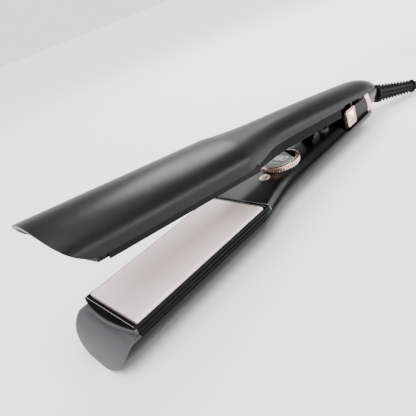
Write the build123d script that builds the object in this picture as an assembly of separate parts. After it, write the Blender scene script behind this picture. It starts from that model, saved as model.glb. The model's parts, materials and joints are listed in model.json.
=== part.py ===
from build123d import *

import os
from math import cos, pi, radians, sin, sqrt, tan

# ---------------------------------------------------------------- driving dimensions (mm, degrees)
# Arm frame: X runs from the tips to the tail with 0 at the plates' tip edge, Y across, and Z = 0 is
# the plane where the two plates meet when the iron is closed.
OPEN_ANGLE = 8.3  # how far the opening spring holds the arms apart
HINGE_X = 229.0  # hinge pin, from the plates' tip edge
BELLY = 20.2  # meeting plane to the flat land under the lower arm
MID_X = 139.0  # middle of the iron's length, where the part's origin is

ARM_HALF = 26.0  # half the width of an arm at its plate
WALL = 1.8  # moulded shell wall
FIT = 0.15  # gap between pieces moulded to sit in each other
CLEAR = 0.3  # gap between pieces that move apart
LOWER_RIM = 6.0  # split between shell and plate frame, below the meeting plane
UPPER_RIM = 3.8
HANDLE_RIM = 6.6  # split between shell and handle cover, both arms
HINGE_RIM = 7.6  # edge of the upper shell over the hinge
TIP_X, TIP_Z, TIP_RADIUS = 3.1, -25.2, 22.15  # rounded cut across both tips, seen from the side

PLATE_LENGTH = 92.0
PLATE_HALF = 22.8
PLATE_THICK = 3.2
PLATE_ROUND = 2.0  # rounded long edges, so that hair doesn't kink
PLATE_GAP = 0.15  # each plate's face to the meeting plane
PLATE_FLOAT = 0.8  # how far a plate sinks on its cushions
POCKET = 0.35  # gap round a plate in its frame

FRAME_HALF = 24.1  # inner frame that holds the plate
FRAME_TOP = 1.2  # frame face below the meeting plane
FRAME_FLOOR = 7.6
FRAME_BOTTOM = 9.0
FRAME_END = 95.6  # seam between plate frame and handle cover
COVER_END = 196.0
SKIRT_PAST = 0.2  # the upper cover's side walls hang past the meeting plane

DIAL_X = 139.5
DIAL_RADIUS = 12.85
DIAL_TOP = 3.0
DIAL_LOW = -0.8
DIAL_BORE = 11.2
DIAL_TEETH = 72
DRIVE = (6.4, 8.0)  # drive sleeve under the ring, inner and outer radius
BUTTON_X = 121.5
BUTTON_RADIUS = 3.7
BOARD_TOP = -9.0

PIN_RADIUS = 2.5
BUSH_RADIUS = 3.6
WEB_HALF = 5.6
TILE = 12.0  # lock slider's pad, along and tall
TILE_X, TILE_Z = 206.0, 0.8
STEM = (202.0, 205.5)  # the lock's stem, along the arm
LOCK_TRAVEL = 4.0
HOUSING_HALF = 13.3
SPRING_X = 187.0

COLLAR_X, COLLAR_LENGTH, COLLAR_RADIUS = 234.0, 9.0, 12.5  # trim ring round the tail
AXIS_Z = -2.7  # tail ring and cord socket, below the meeting plane
SOCKET_RADIUS = 8.0
BALL_X, BALL_Z, BALL_RADIUS = 254.0, -3.7, 6.1
CORD_YAW, CORD_DROOP = 26.0, 12.0  # the ball lets the cord lean to the side and droop
RELIEF_START, RELIEF_END = 9.2, 45.5  # along the cord's axis from the ball's centre

CORD_RADIUS = 3.3
HANK_X, HANK_Y = 428.0, -8.0  # middle of the hank's nearer folds
HANK_RUN = 74.0  # straight runs between the folds
HANK_MID = 22.8  # from the middle of a fold to the middle of its turns
HANK_HALF = 2 * CORD_RADIUS + 0.1  # the turns lie two side by side
HANK_HEIGHT = 6 * CORD_RADIUS + 0.2  # and three deep
PLUG_LIFT = 27.0  # the plug lies on the hank
PLUG_HALF, PLUG_THICK = 13.2, 6.8

FLOOR = -BELLY
CORD_AXIS = Vector(
    cos(radians(CORD_YAW)) * cos(radians(CORD_DROOP)),
    -sin(radians(CORD_YAW)) * cos(radians(CORD_DROOP)),
    -sin(radians(CORD_DROOP)),
)
BALL = Vector(BALL_X, 0, BALL_Z)
CORD_EXIT = BALL + CORD_AXIS * RELIEF_END

# Outside of an arm: distance along, half width, depth below the meeting plane.
STATIONS = [
    (85, 26.0, 20.6), (90, 25.6, 20.5), (96, 24.3, 20.0), (105, 22.0, 19.5), (115, 19.5, 19.1),
    (126, 17.9, 18.9), (140, 17.2, 18.8), (168, 16.8, 18.3), (200, 16.4, 17.4), (226, 15.6, 16.5),
]
TAIL_START, TAIL_REACH = 226.0, 33.0  # the tail closes in a rounded nose

# Handle covers' flat decks: distance along, half width, height against the meeting plane.
LOWER_DECK = [
    (FRAME_END + 0.2, 21.0, -0.8), (105, 17.2, -0.8), (115, 13.4, -0.9), (126, 10.6, -1.0),
    (140, 9.2, -1.2), (150, 8.3, -1.2), (160, 7.8, -1.3), (170, 7.5, -1.4), (180, 7.4, -1.6),
    (188, 7.3, -1.7), (COVER_END, 7.2, -1.8),
]
UPPER_DECK = [
    (FRAME_END + 0.2, 21.0, -0.8), (105, 16.0, -1.8), (115, 12.0, -3.9), (126, 10.6, -4.2),
    (140, 9.2, -4.2), (150, 8.8, -4.1), (160, 8.6, -4.0), (170, 8.5, -3.8), (180, 8.4, -3.6),
    (188, 8.3, -3.5), (COVER_END, 8.2, -3.4),
]

COVER_SCREWS = [(108, 0), (157, 0), (176, 0)]
HINGE_SCREWS = [(214, 9.5), (214, -9.5)]
BRACKET_SCREWS = [(204, 7), (204, -7)]
HEAD_RADIUS, SHANK_RADIUS, BOSS_RADIUS = 2.2, 1.15, 3.0


# ---------------------------------------------------------------- helpers
def across(x):
    """Plane across the arm at x, with its first axis along +Y and its second along +Z."""
    return Plane(origin=(x, 0, 0), x_dir=(0, 1, 0), z_dir=(1, 0, 0))


def box(x, y, z):
    """Box from three (low, high) pairs."""
    size = [high - low for low, high in (x, y, z)]
    middle = [(high + low) / 2 for low, high in (x, y, z)]
    return Pos(*middle) * Box(*size)


def rod(start, end, radius):
    """Cylinder between two points."""
    start, end = Vector(start), Vector(end)
    plane = Plane(origin=start, z_dir=end - start)
    return plane * extrude(Circle(radius), (end - start).length)


def post(x, y, low, high, radius):
    """Upright cylinder."""
    return rod((x, y, low), (x, y, high), radius)


def along(profile, low, high):
    """Extrudes a (y, z) outline along X."""
    face = make_face(Polyline(*profile, close=True).edges())
    return across(low) * extrude(face, high - low)


def both_sides(shape):
    return shape + mirror(shape, about=Plane.XZ)


# ---------------------------------------------------------------- arm shells
def tail_station(x):
    """Station on the rounded nose of the tail."""
    share = sqrt(1 - ((x - TAIL_START) / TAIL_REACH) ** 2)
    return (x, 15.6 * share, 6.0 + 10.5 * share)


def station_at(x):
    """Half width and depth of the arm's outside, read between the stations."""
    for (x0, half0, depth0), (x1, half1, depth1) in zip(STATIONS, STATIONS[1:]):
        if x0 <= x <= x1:
            share = (x - x0) / (x1 - x0)
            return half0 + (half1 - half0) * share, depth0 + (depth1 - depth0) * share
    return ARM_HALF, STATIONS[0][2]


def rim_at(x, plate_rim):
    """Depth of the split line, easing from the plate's to the handle's."""
    share = min(max((x - 90) / 28, 0), 1)
    return plate_rim + (HANDLE_RIM - plate_rim) * share * share * (3 - 2 * share)


def shoulder_at(rim):
    """Depth where the sides stop being straight."""
    return max(6.4, rim + 0.4)


def skin_at(x, y):
    """Height of the outside of the lower shell below a point."""
    half, depth = station_at(x)
    shoulder = shoulder_at(HANDLE_RIM)
    return -shoulder - (depth - shoulder) * sqrt(1 - (y / half) ** 2)


def section(x, half, depth, rim, lift=0.0):
    """Face across the arm: a half ellipse with short straight sides up to the rim, or past it."""
    shoulder, top = shoulder_at(rim), lift - rim
    curve = EllipticalCenterArc((0, -shoulder), half, depth - shoulder, 180, arc_size=180)
    sides = Polyline((half, -shoulder), (half, top), (-half, top), (-half, -shoulder))
    return across(x) * make_face([*curve.edges(), *sides.edges()])


def arm_form(plate_rim, inset=0.0, lift=0.0):
    """Solid outline of an arm: inset makes it smaller all round, lift raises its flat face."""
    tail = [tail_station(x) for x in (236, 245, 252, 256.5)]
    faces = []
    for x, half, depth in [*STATIONS, *tail]:
        place = x - inset * (x > TAIL_START)
        faces.append(section(place, half - inset, depth - inset, rim_at(x, plate_rim), lift))
    front, half, depth = STATIONS[0]
    start = -24 - inset
    paddle = section(start, half - inset, depth - inset, plate_rim, lift)
    return loft(faces) + extrude(paddle, front - start, dir=(1, 0, 0))


def tip_round(inset=0.0):
    """Everything ahead of the rounded tip."""
    edge = rod((TIP_X, -50, TIP_Z), (TIP_X, 50, TIP_Z), TIP_RADIUS - inset)
    return box((-40, TIP_X), (-40, 40), (TIP_Z, 5)) - edge


def outer_shell(plate_rim):
    return arm_form(plate_rim) - arm_form(plate_rim, WALL, 1.5) - tip_round()


def lower_outer_shell():
    shell = outer_shell(LOWER_RIM) - box((COLLAR_X - 0.6, 280), (-40, 40), (-40, 0))
    shell -= box((-40, 280), (-40, 40), (-40, FLOOR))  # flat land that the arm rests on
    form = arm_form(LOWER_RIM)
    for x, y in [*COVER_SCREWS, *HINGE_SCREWS]:
        skin = skin_at(x, y)
        shell += post(x, y, -25, -9.3, BOSS_RADIUS) & form
        shell -= post(x, y, -25, skin + 1.8, HEAD_RADIUS + 0.3)
        shell -= post(x, y, -25, -7, SHANK_RADIUS + 0.2)
    return shell


def upper_outer_shell():
    """The upper shell carries on over the tail ring, and is relieved for the cord socket."""
    shell = outer_shell(UPPER_RIM) - box((COVER_END, 280), (-40, 40), (-HINGE_RIM, 0))
    shell -= rod((240, 0, -1.0), (280, 0, -1.0), SOCKET_RADIUS + 1.5)
    form = arm_form(UPPER_RIM)
    for x, y in COVER_SCREWS:
        shell += post(x, y, -25, -9.3, BOSS_RADIUS) & form
    for x, y in BRACKET_SCREWS:
        shell += post(x, y, -25, -10.7, BOSS_RADIUS) & form
    for x, y in [*COVER_SCREWS, *BRACKET_SCREWS]:
        shell -= post(x, y, -13.6, -7, SHANK_RADIUS)
    return shell


# ---------------------------------------------------------------- plate frames, caps and plates
def frame_side(rim):
    """Outline across the right-hand frame wall, stepped outwards down to the shell's rim."""
    drop = rim - FRAME_TOP
    inner = -PLATE_HALF - POCKET
    return [
        (inner, -FRAME_TOP), (-FRAME_HALF + 0.3, -FRAME_TOP),
        (-FRAME_HALF, -FRAME_TOP - 0.35 * drop), (-FRAME_HALF - 0.5, -FRAME_TOP - 0.40 * drop),
        (-FRAME_HALF - 0.7, -FRAME_TOP - 0.68 * drop), (-FRAME_HALF - 1.2, -FRAME_TOP - 0.73 * drop),
        (-ARM_HALF + 0.4, -rim + FIT), (-FRAME_HALF + FIT / 2, -rim + FIT),
        (-FRAME_HALF + FIT / 2, -FRAME_BOTTOM), (inner, -FRAME_BOTTOM),
    ]


def nose_outline(reach):
    """Plan of the frame's bulged front end."""
    arc = ThreePointArc((-3.0, -FRAME_HALF), (-3.0 - reach, 0), (-3.0, FRAME_HALF))
    rest = Polyline((-3.0, FRAME_HALF), (3.0, FRAME_HALF), (3.0, -FRAME_HALF), (-3.0, -FRAME_HALF))
    return make_face([*arc.edges(), *rest.edges()])


def plate_frame(rim):
    width = (-FRAME_HALF + 0.1, FRAME_HALF - 0.1)
    body = both_sides(along(frame_side(rim), -1.6, FRAME_END))
    body += box((PLATE_LENGTH + 0.7, FRAME_END), width, (-FRAME_BOTTOM, -FRAME_TOP))
    body += box((-1.6, 2.6), width, (-FRAME_BOTTOM, -FRAME_TOP - 0.6))
    body += box((1.0, FRAME_END), width, (-FRAME_BOTTOM, -FRAME_FLOOR))
    body += Pos(0, 0, -FRAME_TOP - 0.8) * extrude(nose_outline(2.8), 0.8)
    pocket = PLATE_HALF + POCKET
    body -= box((-0.7, PLATE_LENGTH + 0.7), (-pocket, pocket), (-FRAME_FLOOR, 1))
    for x in (26, 66):  # windows in the floor for leads and cooling
        body -= box((x - 6, x + 6), (-4, 4), (-FRAME_BOTTOM - 1, -FRAME_FLOOR + 1))
    above = body - box((-40, 280), (-40, 40), (-40, -rim + FIT))
    outline = extrude(section(-24, ARM_HALF - 0.4, 30, 0.2), 109, dir=(1, 0, 0))
    taper = [section(x, half - 0.4, 30, 0.2) for x, half, _ in STATIONS[:3]]
    above &= outline + loft(taper)
    below = body & arm_form(rim, WALL + 2 * FIT, 2 * FIT)
    return above + below


def tip_cap(rim):
    """Cap that closes the tip: a raised band under the frame's lip, and a rounded face below it."""
    face = arm_form(rim, WALL + 2 * FIT, 0.5) - tip_round(0.9)
    face -= rod((TIP_X, -50, TIP_Z), (TIP_X, 50, TIP_Z), TIP_RADIUS - 2.9)
    band_low = -5.9
    band = Pos(0, 0, band_low) * extrude(nose_outline(3.4), -FRAME_TOP - 0.85 - band_low)
    cap = face + band
    return cap & box((-30, -1.75), (-FRAME_HALF, FRAME_HALF), (-30, 0))


def heating_plate():
    """Flat plate with rounded long edges."""
    top = -PLATE_GAP
    body = box((0, PLATE_LENGTH), (-PLATE_HALF, PLATE_HALF), (top - PLATE_THICK, top))
    body = fillet(body.edges().filter_by(Axis.X).group_by(Axis.Z)[-1], PLATE_ROUND)
    return fillet(body.edges().filter_by(Axis.Y).group_by(Axis.Z)[-1], 0.5)


def heater():
    """Two ceramic heating strips pressed against the back of the plate."""
    top = -PLATE_GAP - PLATE_THICK
    return [box((8 + 40 * n, 44 + 40 * n), (-8, 8), (top - 2.2, top - 0.02)) for n in range(2)]


def cushions():
    """Soft pads on the frame's floor, one under each corner of the plate."""
    top = -PLATE_GAP - PLATE_THICK - PLATE_FLOAT - 0.05
    return [post(x, y, -FRAME_FLOOR, top, 3.0) for x in (12, 80) for y in (-17, 17)]


def heat_sensor():
    """Small tube beside the heater: a thermal fuse below, a thermistor above."""
    axis_z = -PLATE_GAP - PLATE_THICK - 1.15
    return rod((52, -13.0, axis_z), (62, -13.0, axis_z), 1.1)


# ---------------------------------------------------------------- handle covers
def cover_section(x, half, rim, deck_half, deck_z):
    """Face across a handle cover: a flat deck whose flanks sweep down and out to the rim."""
    edge = -rim + FIT + 0.5
    inner = half - WALL - FIT
    right = Spline((deck_half, deck_z), (half, edge), tangents=((1, 0), (1, -0.12)))
    left = Spline((-half, edge), (-deck_half, deck_z), tangents=((1, 0.12), (1, 0)))
    deck = Line((-deck_half, deck_z), (deck_half, deck_z))
    under = Polyline(
        (half, edge), (half, -rim + FIT), (inner, -rim + FIT), (inner, -rim - 1.0),
        (-inner, -rim - 1.0), (-inner, -rim + FIT), (-half, -rim + FIT), (-half, edge),
    )
    return across(x) * make_face([*left.edges(), *deck.edges(), *right.edges(), *under.edges()])


def cover_hollow(x, half, rim, deck_half, deck_z):
    """Face across the space under a cover."""
    top, low = deck_z - 1.6, -rim - 1.5
    near, far = deck_half - 2.5, half - WALL - 1.8
    outline = Polyline((near, top), (far, low), (-far, low), (-near, top), close=True)
    return across(x) * make_face(outline.edges())


def handle_cover(plate_rim, decks):
    """Thin lofted cover from the plate frame's seam to the hinge housing."""
    outside, inside = [], []
    for x, deck_half, deck_z in decks:
        size = (station_at(x)[0] - 0.35, rim_at(x, plate_rim), deck_half, deck_z)
        outside.append(cover_section(x, *size))
        inside.append(cover_hollow(x, *size))
    return loft(outside) - loft(inside)


def lower_inner_cover():
    cover = handle_cover(LOWER_RIM, LOWER_DECK)
    for x, y in COVER_SCREWS:
        cover += post(x, y, -9.2, -2.0, BOSS_RADIUS)
        cover -= post(x, y, -10, -5, SHANK_RADIUS)
    cover += post(DIAL_X, 0, -7.4, DIAL_LOW - CLEAR, DIAL_RADIUS - 0.9)
    cover -= post(DIAL_X, 0, -12, 2, DRIVE[1] + 0.4)
    cover += post(BUTTON_X, 0, -6.0, -1.6, BUTTON_RADIUS + 2.6)
    cover -= post(BUTTON_X, 0, -9, 2, BUTTON_RADIUS + 0.35)
    cover -= post(BUTTON_X, 0, -9, -2.6, BUTTON_RADIUS + 1.3)
    cover += post(SPRING_X, 0, -5.5, 1.6, 6.9)
    cover -= post(SPRING_X, 0, -3.6, 3, 6.0)
    wedge = Polyline((169, -1.8), (175.0, 3.0), (178.0, 3.0), (180.0, -1.8), close=True)
    cover += Pos(0, 4.5, 0) * extrude(Plane.XZ * make_face(wedge.edges()), 9)
    return cover


def skirt(x):
    """Face across one hanging wall of the upper cover, just inside its edge."""
    middle = station_at(x)[0] - 0.35 - 2.6
    low, high = -rim_at(x, UPPER_RIM) - 0.2, SKIRT_PAST
    return across(x) * Pos(middle, (low + high) / 2) * Rectangle(1.2, high - low)


def upper_skirts():
    """Walls along both sides of the upper cover that close the gap seen from the side."""
    faces = [skirt(x) for x in (97, 105, 115, 126, 140, 168, 195)]
    return [both_sides(loft([near, far])) for near, far in zip(faces, faces[1:])]


def upper_inner_cover():
    """Its spring tube slides into the lower cover's cup as the arms close."""
    cover = handle_cover(UPPER_RIM, UPPER_DECK)
    for x, y in COVER_SCREWS:
        cover += post(x, y, -9.2, -4.2, BOSS_RADIUS)
        cover -= post(x, y, -10, 2, SHANK_RADIUS + 0.2)
        cover -= post(x, y, -6.2, 2, HEAD_RADIUS + 0.3)
    for wall in upper_skirts():
        cover += wall
    cover += post(SPRING_X, 0, -6.4, 2.4, 5.2)
    cover -= post(SPRING_X, 0, -4.6, 3, 4.4)
    return cover


# ---------------------------------------------------------------- controls
def dial_ring():
    """Knurled ring that turns round the display, with its drive skirt below."""
    ring = post(DIAL_X, 0, DIAL_LOW, DIAL_TOP, DIAL_RADIUS)
    ring = chamfer(ring.edges().group_by(Axis.Z)[-1], 0.5)
    grooves = Sketch()
    for n in range(DIAL_TEETH):
        grooves += Rot(0, 0, 360 * n / DIAL_TEETH) * Pos(DIAL_RADIUS, 0) * Rectangle(0.5, 0.45)
    ring -= Pos(DIAL_X, 0, DIAL_LOW - 0.1) * extrude(grooves, DIAL_TOP - DIAL_LOW - 0.6)
    ring -= post(DIAL_X, 0, DIAL_LOW + 1.0, DIAL_TOP + 1, DIAL_BORE)
    ring += post(DIAL_X, 0, -1.7, DIAL_LOW, DRIVE[1])
    return ring - post(DIAL_X, 0, -3, DIAL_LOW + 2, DRIVE[0])


def display_window():
    """Glass disc, standing still in the middle of the ring."""
    glass = post(DIAL_X, 0, DIAL_TOP - 1.2, DIAL_TOP - 0.15, DIAL_BORE - CLEAR)
    return fillet(glass.edges().group_by(Axis.Z)[-1], 0.3)


def display_module():
    """Digit display on a round hub that reaches down to the board."""
    head = post(DIAL_X, 0, DIAL_TOP - 2.45, DIAL_TOP - 1.22, DIAL_BORE - CLEAR)
    return head + post(DIAL_X, 0, BOARD_TOP, DIAL_TOP - 2.45, DRIVE[0] - 0.4)


def dial_encoder():
    """Ring-shaped encoder that reads the dial, fixed in the cover under it."""
    body = post(DIAL_X, 0, BOARD_TOP, -2.0, DRIVE[1] + 0.3)
    return body - post(DIAL_X, 0, -10, 0, DRIVE[0] - 0.3)


def power_button():
    cap = post(BUTTON_X, 0, -2.95, -0.45, BUTTON_RADIUS)
    cap = fillet(cap.edges().group_by(Axis.Z)[-1], 0.4)
    flange = post(BUTTON_X, 0, -3.6, -2.65, BUTTON_RADIUS + 0.9)
    return cap + flange + post(BUTTON_X, 0, -5.4, -3.6, 1.5)


def button_switch():
    body = box((BUTTON_X - 3, BUTTON_X + 3), (-3, 3), (BOARD_TOP, -6.6))
    return body + post(BUTTON_X, 0, -6.6, -6.0, 1.6)


def control_board():
    board = box((112, 152), (-9.5, 9.5), (BOARD_TOP - 1.6, BOARD_TOP))
    board += box((113, 117), (-7, 7), (BOARD_TOP, -7.9))
    return board + box((149, 151.6), (-6, 6), (BOARD_TOP, -7.9))


def internal_wires(arm):
    """Insulated leads: board or hinge to heater, and in the lower arm mains to board as well."""
    plate_end = 111.8 if arm == "lower" else 198.8
    wires = [rod((96.2, y, -9.9), (plate_end, y, -9.9), 0.8) for y in (-5, 5)]
    if arm == "lower":
        wires += [rod((152.1, y, -10.2), (235.8, y, -10.4), 0.9) for y in (-4.6, 4.6)]
    return wires


# ---------------------------------------------------------------- hinge, lock and spring
def hinge_block():
    """Housing on the lower arm: a web that carries the pin between two low side walls."""
    body = box((198, 232), (-12.2, 12.2), (-9.2, -7.2))
    body += box((201, 243), (-WEB_HALF, WEB_HALF), (-9.2, 2.2))
    body += rod((HINGE_X, -WEB_HALF, 0), (HINGE_X, WEB_HALF, 0), WEB_HALF)
    wall = box((199, 231.5), (-HOUSING_HALF, -11.9), (-7.2, 5.0))
    wall += box((199, 231.5), (-12.2, -11.9), (-9.2, 5.0))
    wall = fillet(wall.edges().filter_by(Axis.Y).group_by(Axis.Z)[-1], 2.6)
    body += both_sides(wall)
    body -= rod((HINGE_X, -7, 0), (HINGE_X, 7, 0), BUSH_RADIUS)
    slot = (STEM[0] - 0.4, STEM[1] + LOCK_TRAVEL + 0.5)
    body -= box(slot, (-14, -11), (TILE_Z - 1.6, TILE_Z + 1.6))  # slot for the lock's stem
    for x, y in HINGE_SCREWS:
        body -= post(x, y, -10, -5, SHANK_RADIUS)
    return body


def hinge_bushes():
    bore = rod((HINGE_X, -9, 0), (HINGE_X, 9, 0), PIN_RADIUS + 0.04)
    return [rod((HINGE_X, low, 0), (HINGE_X, low + 4.1, 0), BUSH_RADIUS) - bore for low in (-WEB_HALF, 1.5)]


def hinge_pin():
    pin = rod((HINGE_X, -10.4, 0), (HINGE_X, 10.4, 0), PIN_RADIUS)
    return chamfer(pin.edges().filter_by(GeomType.CIRCLE), 0.4)


def upper_hinge_bracket():
    """Two ears hanging from a plate in the upper arm, gripping the pin, and the lock's catch."""
    low, high = 7.6, 10.4
    ear = box((HINGE_X - 4.8, HINGE_X + 2.5), (-high, -low), (-10.6, 0))
    ear += rod((HINGE_X, -high, 0), (HINGE_X, -low, 0), 4.8)
    bracket = box((199, HINGE_X + 2.5), (-high, high), (-10.6, -8.6)) + both_sides(ear)
    bracket -= rod((HINGE_X, -12, 0), (HINGE_X, 12, 0), PIN_RADIUS)
    bracket += box((208.6, 214), (-11.6, -high), (-10.6, -8.6))
    bracket += box((212.2, 214), (-11.6, -10.9), (-10.6, 1.0))
    bracket += box((208.6, 214), (-11.6, -10.9), (0.2, 1.0))
    for x, y in BRACKET_SCREWS:
        bracket -= post(x, y, -11, -8, SHANK_RADIUS + 0.2)
    return bracket


def lock_slider():
    """Pad with a four-sided pyramid face; its tongue slides over the upper arm's catch."""
    back = -HOUSING_HALF - CLEAR
    reach = (TILE_X - TILE / 2, TILE_X + TILE / 2)
    pad = box(reach, (back - 1.3, back), (TILE_Z - TILE / 2, TILE_Z + TILE / 2))
    pad = fillet(pad.edges().filter_by(Axis.Y), 1.8)
    face = Plane(origin=(TILE_X, back - 1.3, TILE_Z), x_dir=(1, 0, 0), z_dir=(0, -1, 0))
    base = Rectangle(TILE - 2.4, TILE - 2.4).face()
    peak = face * loft([base, Pos(0, 0, 1.0) * Rectangle(0.3, 0.3).face()])
    stem = box(STEM, (back, -11.8), (TILE_Z - 1.2, TILE_Z + 1.2))
    tongue = box((STEM[0], 208.0), (-11.9, -10.9), (TILE_Z - 0.4, TILE_Z + 0.4))
    return pad + peak + stem + tongue


def opening_spring():
    """Coil spring between the two arms' cups, at its length with the iron open."""
    lift = (HINGE_X - SPRING_X) * tan(radians(OPEN_ANGLE))
    wire, turns = 0.45, 7
    low, high = -3.55 + wire, lift + 4.2 - wire
    helix = Helix(pitch=(high - low) / turns, height=high - low, radius=3.0)
    start = Plane(origin=helix @ 0, z_dir=helix % 0)
    return Pos(SPRING_X + 0.6, 0, low) * sweep(start * RegularPolygon(wire, 8), path=helix)


# ---------------------------------------------------------------- tail and cord
def rear_collar():
    low, high = (COLLAR_X, 0, AXIS_Z), (COLLAR_X + COLLAR_LENGTH, 0, AXIS_Z)
    ring = rod(low, high, COLLAR_RADIUS)
    ring = chamfer(ring.edges().filter_by(GeomType.CIRCLE), 0.8)
    return ring - rod(low, high, 10.2)


def cord_socket():
    """Ball socket at the tail, on a root that fills the trim ring."""
    body = rod((243.1, 0, AXIS_Z - 0.6), (BALL_X + 5.0, 0, BALL_Z), SOCKET_RADIUS)
    body += rod((236.0, 0, AXIS_Z), (245.0, 0, AXIS_Z), 10.0)
    body -= box((230, 243.2), (-WEB_HALF - 0.1, WEB_HALF + 0.1), (-12, 12))
    body -= Pos(*BALL) * Sphere(BALL_RADIUS + 0.1)
    body -= rod(BALL, BALL + CORD_AXIS * 14, 5.0)
    return body - rod((230, 0, AXIS_Z), BALL, 3.0)


def strain_relief():
    """Ball, neck and ribbed sleeve on one axis; it turns in the socket."""
    ribs, rib_long, rib_proud = 12, 1.6, 1.0
    first, last = 7.0, 5.2
    neck = RELIEF_START - 4.8
    outline = [(0.0, neck), (3.1, neck), (3.1, RELIEF_START), (first, RELIEF_START)]
    pitch = (RELIEF_END - RELIEF_START - 2.0) / ribs
    for n in range(ribs):
        low = RELIEF_START + 2.0 + n * pitch
        crest = first + (last - first) * n / (ribs - 1)
        core = crest - rib_proud
        outline += [(core, low), (core, low + pitch - rib_long)]
        outline += [(crest, low + pitch - rib_long), (crest, low + pitch)]
    outline.append((0.0, RELIEF_END))
    sleeve = revolve(Plane.XZ * make_face(Polyline(*outline, close=True).edges()), Axis.Z)
    return Plane(origin=BALL, z_dir=CORD_AXIS) * (sleeve + Sphere(BALL_RADIUS))


def floor_point(x, y):
    """Where a cord's centre lies on the floor."""
    return Vector(x, y, FLOOR + CORD_RADIUS)


def tube(points, name):
    """Round cord along straight runs joined by arcs as large as the runs allow."""
    radii = []
    for before, at, after in zip(points, points[1:], points[2:]):
        turn = (at - before).get_angle(after - at)
        run = min((at - before).length, (after - at).length)
        radii.append(0.45 * run / tan(radians(turn) / 2))
    path = FilletPolyline(*points, radius=radii)
    start = Plane(origin=points[0], z_dir=points[1] - points[0])
    body = sweep(start * Circle(CORD_RADIUS), path=path.wire())
    share = body.volume / (pi * CORD_RADIUS**2 * path.length)
    print(name, "radii", [round(r) for r in radii], "length", round(path.length, 1))
    print(name, "volume against section times length", round(share, 4))
    return body


LEAD_ROUTE = [
    CORD_EXIT + CORD_AXIS * CLEAR,
    CORD_EXIT + CORD_AXIS * 13,
    floor_point(328, -33),
    floor_point(352, -33.5),
    floor_point(373, -22),
    floor_point(390, -4),
    floor_point(407, 12),
    floor_point(HANK_X, HANK_Y + HANK_MID + CORD_RADIUS),
]
PLUG_ROUTE = [
    Vector(512, -24.3, FLOOR + 5 * CORD_RADIUS),
    Vector(494, -26.4, FLOOR + 5 * CORD_RADIUS + 0.4),
    Vector(470, -26.3, FLOOR + PLUG_LIFT),
    Vector(452, -26.2, FLOOR + PLUG_LIFT),
]


def cord_hank():
    """Outer shape of the folded turns, lying on the floor."""
    run = Pos(HANK_RUN / 2, 0) * SlotCenterToCenter(HANK_RUN, 2 * (HANK_MID + HANK_HALF))
    run -= Pos(HANK_RUN / 2, 0) * SlotCenterToCenter(HANK_RUN, 2 * (HANK_MID - HANK_HALF))
    ring = extrude(run, HANK_HEIGHT)
    return Pos(HANK_X, HANK_Y, FLOOR) * fillet(ring.edges().filter_by(Plane.XY), 3.0)


def cord_tie():
    """Hook-and-loop strap over the hank's turns, halfway along a run."""
    x = (HANK_X + HANK_RUN / 2 - 6, HANK_X + HANK_RUN / 2 + 6)
    middle = HANK_Y + HANK_MID
    reach = HANK_HALF + 0.4
    outer = (middle - reach - 1.2, middle + reach + 1.2)
    strap = box(x, outer, (FLOOR, FLOOR + HANK_HEIGHT + 1.5))
    strap = fillet(strap.edges().filter_by(Axis.X).group_by(Axis.Z)[-1], 4.2)
    hollow = box(x, (middle - reach, middle + reach), (FLOOR - 5, FLOOR + HANK_HEIGHT + 0.3))
    return strap - fillet(hollow.edges().filter_by(Axis.X).group_by(Axis.Z)[-1], 3.0)


def plug_plane():
    """Plane at the plug's cord entry: Z along the plug and X across it, level."""
    aim = (PLUG_ROUTE[-1] - PLUG_ROUTE[-2]).normalized()
    return Plane(origin=PLUG_ROUTE[-1], x_dir=(aim.Y, -aim.X, 0), z_dir=aim)


def plug_outline(half, thick):
    side = 0.57 * half
    return Polygon((half, 0), (side, thick), (-side, thick), (-half, 0), (-side, -thick), (side, -thick))


def plug_body():
    """Flat two-pin plug with a round sleeve over the cord."""
    sleeve = loft([Circle(3.9).face(), Pos(0, 0, 16) * Circle(5.2).face()])
    narrow = Pos(0, 0, 15) * plug_outline(7.6, 5.0)
    wide = Pos(0, 0, 28) * plug_outline(PLUG_HALF, PLUG_THICK)
    return plug_plane() * (sleeve + loft([narrow.face(), wide.face()]) + extrude(wide, 9))


def plug_pins():
    pins = []
    for side in (-1, 1):
        pin = Pos(side * 9.3, 0, 37) * extrude(Circle(2.0), 19)
        pins.append(plug_plane() * fillet(pin.edges().group_by(Axis.Z)[-1], 1.2))
    return pins


# ---------------------------------------------------------------- fixings
def screw(x, y, head, tip):
    """Self-tapping screw standing on its head at one height, with its tip at another."""
    side = 1 if tip > head else -1
    body = post(x, y, min(head, tip), max(head, tip), SHANK_RADIUS)
    return body + post(x, y, min(head, head + side), max(head, head + side), HEAD_RADIUS)


def lower_screws():
    return [screw(x, y, skin_at(x, y) + 0.8, -5.6) for x, y in [*COVER_SCREWS, *HINGE_SCREWS]]


def upper_screws():
    made = [screw(x, y, -5.2, -13.0) for x, y in COVER_SCREWS]
    return made + [screw(x, y, -7.5, -13.0) for x, y in BRACKET_SCREWS]


# ---------------------------------------------------------------- assembly
def raised(shape):
    """Turns a piece modelled as if for the lower arm into the upper arm's, held open."""
    return opened(mirror(shape, about=Plane.XY))


def opened(shape):
    return shape.rotate(Axis((HINGE_X, 0, 0), (0, 1, 0)), OPEN_ANGLE)


def save(name, pieces, move=None):
    """Moves pieces from the arm frame to the part's frame and writes one node."""
    pieces = pieces if isinstance(pieces, list) else [pieces]
    solids = []
    for piece in pieces:
        placed = move(piece) if move else piece
        solids += [Pos(-MID_X, 0, BELLY) * solid for solid in placed.solids()]
    node = solids[0] if len(solids) == 1 else Compound(children=solids)
    node.label = name
    export_step(node, f"parts/{name}.step")


def save_arm_pair(name, lower, upper):
    """Writes the two arms' versions of a piece."""
    save(f"lower_{name}", lower)
    save(f"upper_{name}", upper, raised)


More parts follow.
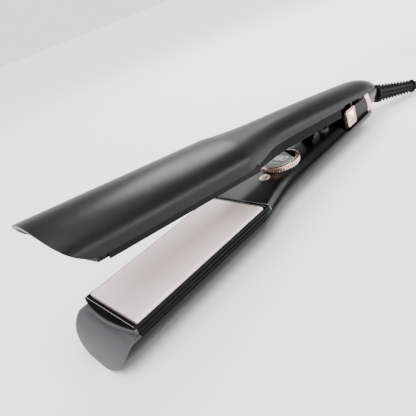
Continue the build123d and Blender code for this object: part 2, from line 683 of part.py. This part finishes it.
def main():
    os.makedirs("parts", exist_ok=True)
    save_arm_pair("outer_shell", lower_outer_shell(), upper_outer_shell())
    save_arm_pair("inner_cover", lower_inner_cover(), upper_inner_cover())
    save_arm_pair("plate_frame", plate_frame(LOWER_RIM), plate_frame(UPPER_RIM))
    save_arm_pair("tip_cap", tip_cap(LOWER_RIM), tip_cap(UPPER_RIM))
    save_arm_pair("heating_plate", heating_plate(), heating_plate())
    save_arm_pair("heater", heater(), heater())
    save_arm_pair("plate_cushions", cushions(), cushions())
    save_arm_pair("wires", internal_wires("lower"), internal_wires("upper"))
    save_arm_pair("screws", lower_screws(), upper_screws())
    save("thermal_fuse", heat_sensor())
    save("thermistor", heat_sensor(), raised)
    save("control_board", control_board())
    save("dial_ring", dial_ring())
    save("dial_encoder", dial_encoder())
    save("display_window", display_window())
    save("display_module", display_module())
    save("power_button", power_button())
    save("button_switch", button_switch())
    save("hinge_block", hinge_block())
    save("hinge_bushes", hinge_bushes())
    save("hinge_pin", hinge_pin(), opened)
    save("hinge_bracket", upper_hinge_bracket(), raised)
    save("lock_slider", lock_slider())
    save("opening_spring", opening_spring())
    save("rear_collar", rear_collar())
    save("cord_socket", cord_socket())
    save("strain_relief", strain_relief())
    save("power_cord", tube(LEAD_ROUTE, "power_cord"))
    save("cord_hank", cord_hank())
    save("cord_tie", cord_tie())
    save("plug_lead", tube(PLUG_ROUTE, "plug_lead"))
    save("plug_body", plug_body())
    save("plug_pins", plug_pins())


main()
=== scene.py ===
import json
from math import cos, pi, radians, sin, sqrt

import bmesh
import bpy
from mathutils import Matrix, Vector


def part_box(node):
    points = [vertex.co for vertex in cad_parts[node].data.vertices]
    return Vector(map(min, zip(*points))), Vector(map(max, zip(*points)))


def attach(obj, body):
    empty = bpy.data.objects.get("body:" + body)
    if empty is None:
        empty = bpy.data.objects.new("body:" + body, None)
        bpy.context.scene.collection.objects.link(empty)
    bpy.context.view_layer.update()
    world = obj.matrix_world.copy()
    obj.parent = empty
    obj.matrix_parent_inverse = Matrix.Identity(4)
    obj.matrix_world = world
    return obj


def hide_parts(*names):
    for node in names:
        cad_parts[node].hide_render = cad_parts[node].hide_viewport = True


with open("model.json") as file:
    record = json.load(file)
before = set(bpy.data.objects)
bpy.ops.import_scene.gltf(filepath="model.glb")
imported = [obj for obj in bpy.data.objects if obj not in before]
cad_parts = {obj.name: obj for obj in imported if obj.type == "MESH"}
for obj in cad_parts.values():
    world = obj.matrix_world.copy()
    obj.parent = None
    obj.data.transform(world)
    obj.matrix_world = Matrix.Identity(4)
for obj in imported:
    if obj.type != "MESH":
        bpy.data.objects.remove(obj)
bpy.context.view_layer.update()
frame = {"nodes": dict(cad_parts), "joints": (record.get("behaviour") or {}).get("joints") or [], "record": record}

NODES = frame["nodes"]
JOINTS = {joint["name"]: joint for joint in frame["joints"]}

# ---------------------------------------------------------------- frame
# Pieces are drawn in the arm frame, in millimetres: X from the plates' tip edge to the tail, Y across,
# Z = 0 where the closed plates meet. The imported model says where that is.
MM = 0.001
HINGE = Vector(JOINTS["arm_hinge"]["pos_m"])
OPEN = radians(-JOINTS["arm_hinge"]["range_deg"][0])
ORIGIN = Vector((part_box("lower_heating_plate")[0].x, 0, HINGE.z))
HINGE_X = (HINGE.x - ORIGIN.x) / MM
BELLY = ORIGIN.z / MM


def lower(point):
    """A point of the arm frame, in the row frame."""
    return ORIGIN + Vector(point) * MM


def upper(point):
    """A point drawn as if on the lower arm, mirrored and turned to the open upper arm."""
    x, y, z = point[0] - HINGE_X, point[1], -point[2]
    return lower((HINGE_X + x * cos(OPEN) + z * sin(OPEN), y, -x * sin(OPEN) + z * cos(OPEN)))


# ---------------------------------------------------------------- dimensions (mm)
ARM_HALF, ARM_DEPTH, SHOULDER = 26.0, 20.6, 6.4
TIP_X, TIP_Z, TIP_RADIUS = 3.1, -25.2, 22.15
LOWER_RIM, UPPER_RIM = -6.0, 3.8
LIP_RUN, LIP_LOW = (1.5, 95.0), 0.7
FRAME_TOP, FRAME_END = -1.2, 95.6
DIAL_X, DIAL_RADIUS, DIAL_BORE, DIAL_TOP, DIAL_LOW = 139.5, 12.85, 11.2, 3.0, -0.8
WINDOW_TOP = 2.85
BUTTON_X = 121.5
COLLAR_X = 234.0
PAD_X, PAD_FACE, PAD_Z = 206.0, -14.8, 0.8
AXIS_Z = -2.7
BALL = Vector((254.0, 0, -3.7))
CORD_AXIS = Vector(JOINTS["cord_swivel"]["axis"])
RELIEF_END = 45.5
CORD_RADIUS = 3.3
HANK_X, HANK_Y = 428.0, -8.0
HANK_RUN, HANK_MID = 74.0, 22.8
PLUG_LIFT = 27.0


def ease(t):
    t = min(max(t, 0), 1)
    return t * t * (3 - 2 * t)


def spread(low, high, count):
    """Evenly spaced values, both ends included."""
    return [low + (high - low) * k / (count - 1) for k in range(count)]


# ---------------------------------------------------------------- camera
def make_camera():
    """The viewing angle: in front of the tips, to the right, above, and slightly rolled."""
    data = bpy.data.cameras.new("camera")
    data.sensor_width = 36.0
    data.lens = 35.44
    data.shift_x, data.shift_y = -0.05, 0.03
    data.clip_start = 0.01
    camera = bpy.data.objects.new("camera", data)
    right = Vector((0.64666, -0.69145, -0.32207))
    forward = Vector((0.51360, 0.70687, -0.48636))
    up = right.cross(forward)
    turn = Matrix((right, up, -forward)).transposed()
    camera.matrix_world = Matrix.Translation(lower((-40.78, -170.83, 109.92))) @ turn.to_4x4()
    bpy.context.scene.collection.objects.link(camera)
    bpy.context.scene.camera = camera


# ---------------------------------------------------------------- materials
def material(name, color, rough, metal=0.0, mottle=0.05, grain=0.0, grain_scale=1500.0, rough_spread=0.05,
             coat=0.0, coat_rough=0.05, specular=0.5, sheen=0.0, emission=0.0):
    """Moulded, plated or rubber surface: colour and roughness vary softly, with a fine grain in relief."""
    made = bpy.data.materials.new(name)
    made.use_nodes = True
    nodes, links = made.node_tree.nodes, made.node_tree.links
    shader = nodes["Principled BSDF"]
    place = nodes.new("ShaderNodeTexCoord")
    soft = nodes.new("ShaderNodeTexNoise")
    soft.inputs["Scale"].default_value = 55.0
    soft.inputs["Detail"].default_value = 4.0
    links.new(place.outputs["Object"], soft.inputs["Vector"])
    ramp = nodes.new("ShaderNodeValToRGB")
    ramp.color_ramp.elements[0].position = 0.3
    ramp.color_ramp.elements[1].position = 0.7
    ramp.color_ramp.elements[0].color = (*[c * (1 - mottle) for c in color], 1)
    ramp.color_ramp.elements[1].color = (*[min(c * (1 + mottle), 1) for c in color], 1)
    links.new(soft.outputs["Fac"], ramp.inputs["Fac"])
    links.new(ramp.outputs["Color"], shader.inputs["Base Color"])
    spread_node = nodes.new("ShaderNodeMapRange")
    spread_node.inputs["To Min"].default_value = max(rough - rough_spread, 0.02)
    spread_node.inputs["To Max"].default_value = min(rough + rough_spread, 1.0)
    links.new(soft.outputs["Fac"], spread_node.inputs["Value"])
    links.new(spread_node.outputs["Result"], shader.inputs["Roughness"])
    shader.inputs["Metallic"].default_value = metal
    shader.inputs["Specular IOR Level"].default_value = specular
    shader.inputs["Coat Weight"].default_value = coat
    shader.inputs["Coat Roughness"].default_value = coat_rough
    shader.inputs["Sheen Weight"].default_value = sheen
    if emission:
        shader.inputs["Emission Color"].default_value = (*color, 1)
        shader.inputs["Emission Strength"].default_value = emission
    if grain:
        fine = nodes.new("ShaderNodeTexNoise")
        fine.inputs["Scale"].default_value = grain_scale
        fine.inputs["Detail"].default_value = 3.0
        links.new(place.outputs["Object"], fine.inputs["Vector"])
        bump = nodes.new("ShaderNodeBump")
        bump.inputs["Strength"].default_value = grain
        bump.inputs["Distance"].default_value = 0.0001
        links.new(fine.outputs["Fac"], bump.inputs["Height"])
        links.new(bump.outputs["Normal"], shader.inputs["Normal"])
    return made


MATERIALS = {
    "upper_shell": material("upper_shell", (0.004, 0.004, 0.0044), 0.36, grain=0.12, specular=0.2),
    "lower_shell": material("lower_shell", (0.002, 0.002, 0.0024), 0.2, rough_spread=0.02, specular=0.2),
    "cover": material("cover", (0.004, 0.004, 0.0045), 0.3, grain=0.08, rough_spread=0.03, specular=0.3),
    "frame": material("frame", (0.001, 0.001, 0.0012), 0.14, rough_spread=0.02, specular=0.12),
    "cap": material("cap", (0.065, 0.065, 0.068), 0.5, grain=0.35, specular=0.3),
    "plate": material("plate", (0.86, 0.76, 0.72), 0.42, metal=0.25, grain=0.1, grain_scale=2500.0,
                      mottle=0.02),
    "ceramic": material("ceramic", (0.82, 0.80, 0.75), 0.6, grain=0.3),
    # underside_painted_shade: painted shade; a darker, barely reflective copy of the cover finish, so the upper
    # inner cover reads as the shaded recess between the arms
    "underside_painted_shade": material("underside_painted_shade", (0.002, 0.002, 0.0022), 0.5, grain=0.08, specular=0.06),
    "silicone": material("silicone", (0.45, 0.10, 0.07), 0.55, grain=0.2),
    "wire": material("wire", (0.72, 0.72, 0.70), 0.5, grain=0.2),
    "steel": material("steel", (0.58, 0.58, 0.60), 0.3, metal=1.0, grain=0.2),
    "dark_steel": material("dark_steel", (0.02, 0.02, 0.022), 0.35, metal=0.6, grain=0.2),
    "cap_dark": material("cap_dark", (0.008, 0.008, 0.009), 0.45, grain=0.3, specular=0.2),
    "board": material("board", (0.02, 0.16, 0.07), 0.35, mottle=0.15, grain=0.3),
    "rose": material("rose", (0.80, 0.58, 0.52), 0.22, metal=0.9, mottle=0.03, rough_spread=0.04),
    # bead_painted_highlight: painted highlight; a light grey for the thin beads where the black frame's chamfers
    # catch the light
    "bead_painted_highlight": material("bead_painted_highlight", (0.30, 0.30, 0.31), 0.3, metal=0.4),
    "rose_pale": material("rose_pale", (0.85, 0.66, 0.61), 0.3, metal=0.55, mottle=0.03),
    "housing": material("housing", (0.003, 0.003, 0.0035), 0.3, grain=0.25, specular=0.15),
    "window": material("window", (0.66, 0.67, 0.68), 0.3, mottle=0.03, coat=0.3, specular=0.4),
    "display": material("display", (0.004, 0.004, 0.005), 0.1, coat=0.8),
    # digit_painted_glow: painted glow; emission makes the printed digits shine though they are no lamp
    "digit_painted_glow": material("digit_painted_glow", (0.9, 0.92, 0.95), 0.4, mottle=0.02, emission=0.7),
    "bush": material("bush", (0.62, 0.44, 0.16), 0.4, metal=1.0, grain=0.4),
    "socket": material("socket", (0.006, 0.006, 0.0065), 0.14, coat=0.5),
    "relief": material("relief", (0.003, 0.003, 0.0032), 0.5, grain=0.3, specular=0.15),
    "cord": material("cord", (0.010, 0.010, 0.011), 0.42, grain=0.3, sheen=0.05),
    "strap": material("strap", (0.012, 0.012, 0.013), 0.85, grain=0.9, grain_scale=900.0, sheen=0.3),
    "plug": material("plug", (0.010, 0.010, 0.011), 0.4, grain=0.3),
    "pins": material("pins", (0.72, 0.70, 0.64), 0.22, metal=1.0),
}

SLOT_OF = {entry["node"]: entry["material_slot"] for entry in frame["record"]["subparts"]}
LOOK_OF_SLOT = {"button": "rose_pale", "spring": "steel"}
# the upper inner cover wears the painted-shade copy of the cover finish
LOOK_OF_NODE = {"hinge_bracket": "dark_steel", "hinge_pin": "dark_steel", "upper_tip_cap": "cap_dark",
                "upper_inner_cover": "underside_painted_shade"}


def dress_cad_nodes():
    """Gives every CAD node that stays in view its finish."""
    for name, node in NODES.items():
        slot = SLOT_OF[name]
        look = MATERIALS[LOOK_OF_NODE.get(name, LOOK_OF_SLOT.get(slot, slot))]
        node.data.materials.clear()
        node.data.materials.append(look)


# ---------------------------------------------------------------- mesh helpers
def add_piece(name, points, faces, look, body, place=lower, replaces=(), smooth_angle=35.0, modifiers=()):
    """Makes a mesh piece from arm-frame points, in place, and lets it ride on its body."""
    mesh = bpy.data.meshes.new(name)
    mesh.from_pydata([place(p) for p in points], [], faces)
    shape = bmesh.new()
    shape.from_mesh(mesh)
    bmesh.ops.remove_doubles(shape, verts=shape.verts, dist=1e-6)
    bmesh.ops.recalc_face_normals(shape, faces=shape.faces)
    for face in shape.faces:
        face.smooth = True
    for edge in shape.edges:
        if len(edge.link_faces) == 2 and edge.calc_face_angle(0) > radians(smooth_angle):
            edge.smooth = False
    shape.to_mesh(mesh)
    shape.free()
    piece = bpy.data.objects.new(name, mesh)
    bpy.context.scene.collection.objects.link(piece)
    mesh.materials.append(MATERIALS[look])
    for kind, settings in modifiers:
        modifier = piece.modifiers.new(kind.lower(), kind)
        for key, value in settings.items():
            setattr(modifier, key, value)
    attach(piece, body)
    if replaces:
        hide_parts(*replaces)
    return piece


def bevel(width, segments=2, angle=35.0):
    return ("BEVEL", {"width": width * MM, "segments": segments, "limit_method": "ANGLE",
                      "angle_limit": radians(angle), "harden_normals": False})


def grid(rows, close_rows=False, close_columns=False):
    """Points and quads of a grid of rows."""
    points = [p for row in rows for p in row]
    wide = len(rows[0])
    faces = []
    for i in range(len(rows) - (not close_rows)):
        for j in range(wide - (not close_columns)):
            a, b = i * wide + j, i * wide + (j + 1) % wide
            k = (i + 1) % len(rows)
            c, d = k * wide + (j + 1) % wide, k * wide + j
            faces.append((a, b, c, d))
    return points, faces


def tube_grid(rows, caps=True):
    """A grid whose rows are closed rings, capped at both ends."""
    points, faces = grid(rows, close_columns=True)
    wide = len(rows[0])
    if caps:
        faces.append(tuple(range(wide)))
        faces.append(tuple(range(len(points) - wide, len(points))))
    return points, faces


def merge(*parts):
    """Joins several (points, faces) into one."""
    points, faces = [], []
    for some_points, some_faces in parts:
        base = len(points)
        points += list(some_points)
        faces += [tuple(base + k for k in face) for face in some_faces]
    return points, faces


def lathe(profile, centre, axis=(0, 0, 1), count=64, closed=True):
    """Turns a (radius, height) profile round an axis."""
    up = Vector(axis).normalized()
    side = up.orthogonal().normalized() if abs(up.z) < 0.99 else Vector((1, 0, 0))
    other = up.cross(side)
    rows = []
    for radius, height in profile:
        ring = []
        for k in range(count):
            turn = 2 * pi * k / count
            point = Vector(centre) + up * height + (side * cos(turn) + other * sin(turn)) * radius
            ring.append(point)
        rows.append(ring)
    return tube_grid(rows, caps=closed)


def block(x, y, z):
    """Box from three (low, high) pairs."""
    points = [(a, b, c) for a in x for b in y for c in z]
    faces = [(0, 1, 3, 2), (4, 6, 7, 5), (0, 4, 5, 1), (2, 3, 7, 6), (0, 2, 6, 4), (1, 5, 7, 3)]
    return points, faces


def prism(outline, low, high):
    """Extrudes an (x, y) outline between two heights."""
    rows = [[(x, y, z) for x, y in outline] for z in (low, high)]
    return tube_grid(rows)


# ---------------------------------------------------------------- cord
def cord_route():
    """Control points from the strain relief to the hank, round its turns and up to the plug on it."""
    floor = CORD_RADIUS - BELLY
    leaving = BALL + CORD_AXIS * (RELIEF_END + 0.3)
    lead = [
        leaving,
        leaving + CORD_AXIS * 12.7,
        Vector((328, -33, floor)),
        Vector((352, -33.5, floor)),
        Vector((373, -22, floor)),
        Vector((390, -4, floor)),
        Vector((407, 12, floor)),
    ]
    plug_lead = [
        Vector((512, -24.3, floor + 4 * CORD_RADIUS)),
        Vector((494, -26.4, floor + 4 * CORD_RADIUS + 0.4)),
        Vector((470, -26.3, PLUG_LIFT - BELLY)),
        Vector((452, -26.2, PLUG_LIFT - BELLY)),
    ]
    return lead + hank_turns(floor) + plug_lead


def hank_turns(floor):
    """Long turns, two side by side and three deep, each taking its next place before it is full."""
    places = [(1, 0), (-1, 0), (-1, 1), (1, 1), (1, 2), (-1, 2)]
    around = 2 * HANK_RUN + 2 * pi * HANK_MID
    steps, seam, last = 36, 0.88, 5.44
    points = []
    for k in range(int(last * steps) + 1):
        turns = k / steps
        now = min(int(turns / seam), 5)
        move = ease((turns - now * seam) / 0.12) if now else 1
        side, deck = [a + (b - a) * move for a, b in zip(places[max(now - 1, 0)], places[now])]
        points.append(hank_point((turns % 1) * around, HANK_MID + 1.01 * CORD_RADIUS * side, floor, deck))
    return points


def hank_point(far, out, floor, deck):
    """A point of the hank, so far round it and so far out from the middle of its folds."""
    fold = pi * HANK_MID
    z = floor + 2 * CORD_RADIUS * deck
    if far < HANK_RUN:
        return Vector((HANK_X + far, HANK_Y + out, z))
    if far < HANK_RUN + fold:
        turn = (far - HANK_RUN) / HANK_MID
        return Vector((HANK_X + HANK_RUN + out * sin(turn), HANK_Y + out * cos(turn), z))
    if far < 2 * HANK_RUN + fold:
        return Vector((HANK_X + 2 * HANK_RUN + fold - far, HANK_Y - out, z))
    turn = (far - 2 * HANK_RUN - fold) / HANK_MID
    return Vector((HANK_X - out * sin(turn), HANK_Y - out * cos(turn), z))


def make_cord():
    curve = bpy.data.curves.new("mains_cord", "CURVE")
    curve.dimensions = "3D"
    curve.bevel_depth = CORD_RADIUS * MM
    curve.bevel_resolution = 6
    curve.resolution_u = 6
    curve.use_fill_caps = True
    route = cord_route()
    spline = curve.splines.new("NURBS")
    spline.points.add(len(route) - 1)
    for control, point in zip(spline.points, route):
        control.co = (*lower(point), 1)
    spline.order_u = 3
    spline.use_endpoint_u = True
    cord = bpy.data.objects.new("mains_cord", curve)
    bpy.context.scene.collection.objects.link(cord)
    curve.materials.append(MATERIALS["cord"])
    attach(cord, "lower_arm")
    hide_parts("power_cord", "cord_hank", "plug_lead")
    return cord, lower(route[0])


# ---------------------------------------------------------------- tips and frames
def tip_front(z, proud):
    """How far forward the rounded tip reaches at a height."""
    return TIP_X - sqrt((TIP_RADIUS + proud) ** 2 - (z - TIP_Z) ** 2)


def tip_outline(low, count=48):
    """(y, z) points round the end of an arm below the cap's band."""
    top = LOWER_RIM + 0.06
    points = [(ARM_HALF, top)]
    for k in range(count + 1):
        turn = pi * k / count
        y, z = ARM_HALF * cos(turn), -SHOULDER - (ARM_DEPTH - SHOULDER) * sin(turn)
        points.append((y, max(z, low)))
    points.append((-ARM_HALF, top))
    points += [(y, top) for y in spread(-ARM_HALF, ARM_HALF, 26)[1:-1]]
    return points


def make_tip_face():
    """Satin end face that laps over the lower shell's edge, with a rolled border."""
    outline = tip_outline(0.15 - BELLY)
    middle = (0, -11.5)
    rings = [(0.2, 0.28), (0.4, 0.28), (0.6, 0.28), (0.8, 0.28), (0.92, 0.28), (0.965, 0.24), (0.985, 0.14),
             (0.995, -0.02), (0.997, -0.3)]
    rows = []
    for size, proud in rings:
        ring = []
        for y, z in outline:
            y, z = middle[0] + (y - middle[0]) * size, middle[1] + (z - middle[1]) * size
            ring.append((tip_front(z, proud), y, z))
        rows.append(ring)
    inner = []
    for x, y, z in rows[-1]:
        inner.append((-1.8, y, z) if z > LOWER_RIM - 0.3 else (x + 2.0, y * 0.96, z * 0.98))
    rows.append(inner)
    points, faces = tube_grid(rows)
    face = add_piece("lower_tip_face", points, faces, "cap", "lower_arm", smooth_angle=50)


def thread(route, radius, sides=8):
    """Thin round bead along a list of points."""
    route = [Vector(p) for p in route]
    rows = []
    for k, point in enumerate(route):
        ahead = (route[min(k + 1, len(route) - 1)] - route[max(k - 1, 0)]).normalized()
        side = ahead.cross(Vector((0, 0, 1)))
        side = side.normalized() if side.length > 0.1 else Vector((0, 1, 0))
        rise = side.cross(ahead)
        rows.append([point + (side * cos(2 * pi * n / sides) + rise * sin(2 * pi * n / sides)) * radius
                     for n in range(sides)])
    return tube_grid(rows)


def make_highlight_beads(name, body, place):
    """Fine raised satin beads, lips of the black frame, whose light grey is a painted highlight of light caught on
    those chamfers: one before the plate, two at the seam behind it.
    """
    corner = [(FRAME_END + 0.1, y, FRAME_TOP + 0.1) for y in spread(20.5, -22.8, 12)]
    corner += [(FRAME_END + 0.2, -23.6, -1.7), (FRAME_END + 0.2, -24.2, -2.9), (FRAME_END + 0.2, -24.5, -4.2)]
    front = [(-2.3, y, FRAME_TOP + 0.02) for y in spread(-23.4, 23.4, 12)]
    back = [(FRAME_END - 1.9, y, FRAME_TOP + 0.02) for y in spread(-23.0, 22.0, 12)]
    points, faces = merge(thread(front, 0.17), thread(back, 0.12), thread(corner, 0.2))
    lines = add_piece(name, points, faces, "bead_painted_highlight", body, place)


def make_frame_lips():
    """Gloss edges of the upper plate frame, which hang a little below the shell."""
    rim = (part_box("upper_plate_frame")[1].y / MM) - 0.1
    section = [(rim, -UPPER_RIM - 0.4), (rim, -LIP_LOW), (rim - 0.7, 0.3 - LIP_LOW),
               (rim - 1.2, -UPPER_RIM - 0.4)]
    lips = []
    for side in (-1, 1):
        lips.append(tube_grid([[(x, side * y, z) for y, z in section] for x in spread(*LIP_RUN, 8)]))
    points, faces = merge(*lips)
    lip = add_piece("upper_frame_lips", points, faces, "frame", "upper_arm", upper)


def make_tips():
    make_tip_face()
    make_frame_lips()
    make_highlight_beads("lower_highlight_beads", "lower_arm", lower)
    make_highlight_beads("upper_highlight_beads", "upper_arm", upper)


# ---------------------------------------------------------------- tail and strain relief
def dome(centre, out, along, wide, long, tall):
    """Small rounded nub standing on a surface."""
    side = out.cross(along)
    rows = []
    for size, rise in ((1.0, -0.3), (0.96, 0.35), (0.7, 0.8)):
        ring = []
        for k in range(8):
            turn = 2 * pi * (k + 0.5) / 8
            step = side * (wide * size * cos(turn)) + along * (long * size * sin(turn))
            ring.append(centre + step + out * (rise * tall))
        rows.append(ring)
    return tube_grid(rows)


def make_strain_relief():
    """Ball, neck and a tapered rubber sleeve with rows of nubs."""
    rows, around = 11, 9
    first, last = 13.4, RELIEF_END - 2.6
    ball = [(6.1 * sin(radians(a)), -6.1 * cos(radians(a))) for a in range(6, 142, 8)]
    sleeve = [(3.1, 5.2), (3.1, 8.8), (6.2, 8.9), (6.9, 9.4), (7.0, 10.2), (6.9, 11.6), (5.9, 12.0),
              (4.0, RELIEF_END - 1.4), (5.1, RELIEF_END - 1.0), (5.1, RELIEF_END - 0.3),
              (4.6, RELIEF_END), (3.35, RELIEF_END)]
    parts = [lathe(ball + sleeve, BALL, CORD_AXIS, 72)]
    side = CORD_AXIS.cross(Vector((0, 0, 1))).normalized()
    rise = side.cross(CORD_AXIS)
    pitch = (last - first) / (rows - 1)
    for row in range(rows):
        height = first + pitch * row
        core = 5.75 - 1.75 * row / (rows - 1)
        for k in range(around):
            turn = 2 * pi * (k + 0.25) / around
            out = side * cos(turn) + rise * sin(turn)
            spot = BALL + CORD_AXIS * height + out * core
            parts.append(dome(spot, out, CORD_AXIS, 0.75, 0.8, 1.5))
    points, faces = merge(*parts)
    relief = add_piece("strain_relief_sleeve", points, faces, "relief", "cord_swivel", lower,
                       ["strain_relief"])


def make_collar():
    """Trim ring: a plain polished front edge and a faceted, chamfered back."""
    start = Vector((COLLAR_X, 0, AXIS_Z))
    front = [(10.3, 0.0), (11.9, 0.0), (12.35, 0.15), (12.5, 0.5), (12.5, 2.6), (12.3, 2.8), (10.3, 2.8)]
    back = [(10.25, 2.7), (12.75, 2.8), (12.95, 4.6), (11.0, 8.6), (10.5, 9.0), (10.25, 9.0)]
    points, faces = merge(lathe(front + front[:1], start, (1, 0, 0), 120, False),
                          lathe(back + back[:1], start, (1, 0, 0), 14, False))
    collar = add_piece("collar_trim", points, faces, "rose", "lower_arm", lower, ["rear_collar"],
                       smooth_angle=18, modifiers=[bevel(0.12, 2, 18)])


def make_tile_border():
    """Two raised lines round the lock pad's pyramid."""
    parts = []
    for half, width in ((5.55, 0.45), (4.75, 0.3)):
        x, z, face = PAD_X, PAD_Z, PAD_FACE - 0.08
        for low, high in (((x - half, z - half), (x + half, z - half + width)),
                          ((x - half, z + half - width), (x + half, z + half)),
                          ((x - half, z - half), (x - half + width, z + half)),
                          ((x + half - width, z - half), (x + half, z + half))):
            parts.append(block((low[0], high[0]), (face - 0.28, face), (low[1], high[1])))
    base = [(PAD_X + a * 4.4, PAD_FACE, PAD_Z + b * 4.4) for a, b in ((-1, -1), (1, -1), (1, 1), (-1, 1))]
    peak = [(PAD_X, PAD_FACE - 2.1, PAD_Z)]
    parts.append((base + peak, [(0, 1, 4), (1, 2, 4), (2, 3, 4), (3, 0, 4), (0, 1, 2, 3)]))
    points, faces = merge(*parts)
    border = add_piece("lock_pad_border", points, faces, "rose", "lock", modifiers=[bevel(0.1, 2)])


# ---------------------------------------------------------------- dial face
SEGMENTS = {"0": "abcdef", "1": "bc", "8": "abcdefg"}


def digit_bars(text, x, y, height):
    """Bars of seven-segment digits that read from the tip side, standing along X."""
    wide, thick = 0.52 * height, 0.15 * height
    places = {"a": (0, 1, 1), "b": (1, 0.5, 0), "c": (1, 0, 0), "d": (0, 0, 1), "e": (0, 0, 0),
              "f": (0, 0.5, 0), "g": (0, 0.5, 1)}
    parts = []
    for k, char in enumerate(text):
        left = (k - (len(text) - 1) / 2) * 0.82 * height - wide / 2
        for name in SEGMENTS[char]:
            across_, up_, flat = places[name]
            low = (left + across_ * wide, (up_ - 0.5) * height)
            size = (wide, thick) if flat else (thick, 0.5 * height)
            back_u, back_v = (0, thick / 2) if flat else (thick / 2, 0)
            u = (low[0] - back_u + 0.08, low[0] + size[0] - back_u - 0.08)
            v = (low[1] - back_v + 0.08, low[1] + size[1] - back_v - 0.08)
            parts.append(block((x + v[0], x + v[1]), (y - u[1], y - u[0]), (WINDOW_TOP, WINDOW_TOP + 0.05)))
    return merge(*parts)


def make_dial_ring():
    """Plated ring: a polished lip over a band of upright knurls."""
    teeth, per_tooth = 54, 6
    count = teeth * per_tooth
    profile = [(DIAL_BORE + 0.05, DIAL_LOW, 0), (12.3, DIAL_LOW, 0), (12.6, -0.6, 0), (DIAL_RADIUS, -0.35, 1),
               (DIAL_RADIUS, 1.75, 1), (12.7, 1.95, 0), (12.85, 2.15, 0), (12.8, 2.5, 0), (12.45, 2.85, 0),
               (12.0, DIAL_TOP, 0), (11.6, DIAL_TOP - 0.02, 0), (11.3, 2.85, 0), (DIAL_BORE + 0.05, 2.6, 0)]
    rows = []
    for radius, height, cut in profile:
        ring = []
        for k in range(count):
            turn = 2 * pi * k / count
            groove = max(0, cos(teeth * turn)) ** 0.7 * 0.62
            r = radius - cut * groove
            ring.append((DIAL_X + r * cos(turn), r * sin(turn), height))
        rows.append(ring)
    points, faces = grid(rows, close_rows=True, close_columns=True)
    ring = add_piece("knurled_ring", points, faces, "rose", "dial", lower, ["dial_ring"], smooth_angle=30)


def make_dial_face():
    """Digits, a ring of ticks and a dark scale segment printed on the window."""
    parts = [digit_bars("180", DIAL_X + 0.6, 0.8, 5.2)]
    for k in range(5):
        parts.append(block((DIAL_X - 6.2, DIAL_X - 5.2), (-3.2 + 1.6 * k, -2.8 + 1.6 * k),
                           (WINDOW_TOP, WINDOW_TOP + 0.05)))
    points, faces = merge(*parts)
    # the printed digits carry the painted-glow finish
    digits = add_piece("display_digits", points, faces, "digit_painted_glow", "lower_arm")
    outline = []
    for degrees_ in range(-78, 23, 5):
        turn = radians(degrees_)
        outline.append((DIAL_X + 10.7 * cos(turn), 10.7 * sin(turn)))
    points, faces = prism(outline, WINDOW_TOP - 0.02, WINDOW_TOP + 0.04)
    shade = add_piece("display_shade", points, faces, "display", "lower_arm")


def make_button_icon():
    """Power mark on the button: an open ring and a bar."""
    top = (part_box("power_button")[1].z - ORIGIN.z) / MM
    parts = []
    for k in range(15):
        a, b = radians(40 + 20 * k - 0.2), radians(40 + 20 * (k + 1) + 0.2)
        arc = ((1.05, a), (1.35, a), (1.35, b), (1.05, b))
        outline = [(BUTTON_X + r * cos(t), r * sin(t)) for r, t in arc]
        parts.append(prism(outline, top - 0.02, top + 0.04))
    parts.append(block((BUTTON_X + 0.5, BUTTON_X + 1.6), (-0.15, 0.15), (top - 0.02, top + 0.04)))
    points, faces = merge(*parts)
    icon = add_piece("button_icon", points, faces, "housing", "button")


# ---------------------------------------------------------------- set
HORIZON, OVERHEAD = 0.12, 0.3  # the studio is white low down and dimmer overhead
STUDIO, SKY = 1.7, 0.2


def make_set():
    floor_mesh = bpy.data.meshes.new("floor")
    reach = 40.0
    floor_mesh.from_pydata([(-reach, -reach, 0), (reach, -reach, 0), (reach, reach, 0), (-reach, reach, 0)],
                           [], [(0, 1, 2, 3)])
    floor = bpy.data.objects.new("floor", floor_mesh)
    bpy.context.scene.collection.objects.link(floor)
    floor.location.z = -0.0002
    floor_mesh.materials.append(material("floor", (0.93, 0.93, 0.93), 0.7, mottle=0.004))
    world = bpy.data.worlds.new("studio")
    world.use_nodes = True
    nodes, links = world.node_tree.nodes, world.node_tree.links
    place = nodes.new("ShaderNodeTexCoord")
    split = nodes.new("ShaderNodeSeparateXYZ")
    ramp = nodes.new("ShaderNodeValToRGB")
    ramp.color_ramp.interpolation = "EASE"
    ramp.color_ramp.elements[0].position, ramp.color_ramp.elements[0].color = HORIZON, (1, 1, 1, 1)
    ramp.color_ramp.elements[1].position, ramp.color_ramp.elements[1].color = OVERHEAD, (*[SKY] * 3, 1)
    links.new(place.outputs["Generated"], split.inputs["Vector"])
    links.new(split.outputs["Z"], ramp.inputs["Fac"])
    links.new(ramp.outputs["Color"], nodes["Background"].inputs["Color"])
    nodes["Background"].inputs["Strength"].default_value = STUDIO
    bpy.context.scene.world = world
    sun = bpy.data.lights.new("sky", "SUN")
    sun.energy, sun.angle = 6.5, radians(70)
    sky = bpy.data.objects.new("sky", sun)
    sky.rotation_euler = (radians(8), radians(-12), 0)
    bpy.context.scene.collection.objects.link(sky)
    lamp("band", (0.55, -0.92, 0.30), (0.0, 0, 0.05), 1.1, 0.26, 10.0)
    lamp("rear", (0.62, 0.46, 0.70), (0.12, 0, 0.04), 0.55, 0.35, 9.0)


def lamp(name, place, aim, wide, tall, power):
    """Soft box at a place, turned to a point."""
    data = bpy.data.lights.new(name, "AREA")
    data.shape = "RECTANGLE"
    data.size, data.size_y, data.energy = wide, tall, power
    made = bpy.data.objects.new(name, data)
    made.location = place
    made.rotation_euler = (Vector(aim) - Vector(place)).to_track_quat("-Z", "Y").to_euler()
    bpy.context.scene.collection.objects.link(made)


make_camera()
cord, cord_exit = make_cord()
dress_cad_nodes()
make_tips()
make_strain_relief()
make_collar()
make_dial_ring()
make_tile_border()
make_dial_face()
make_button_icon()
make_set()
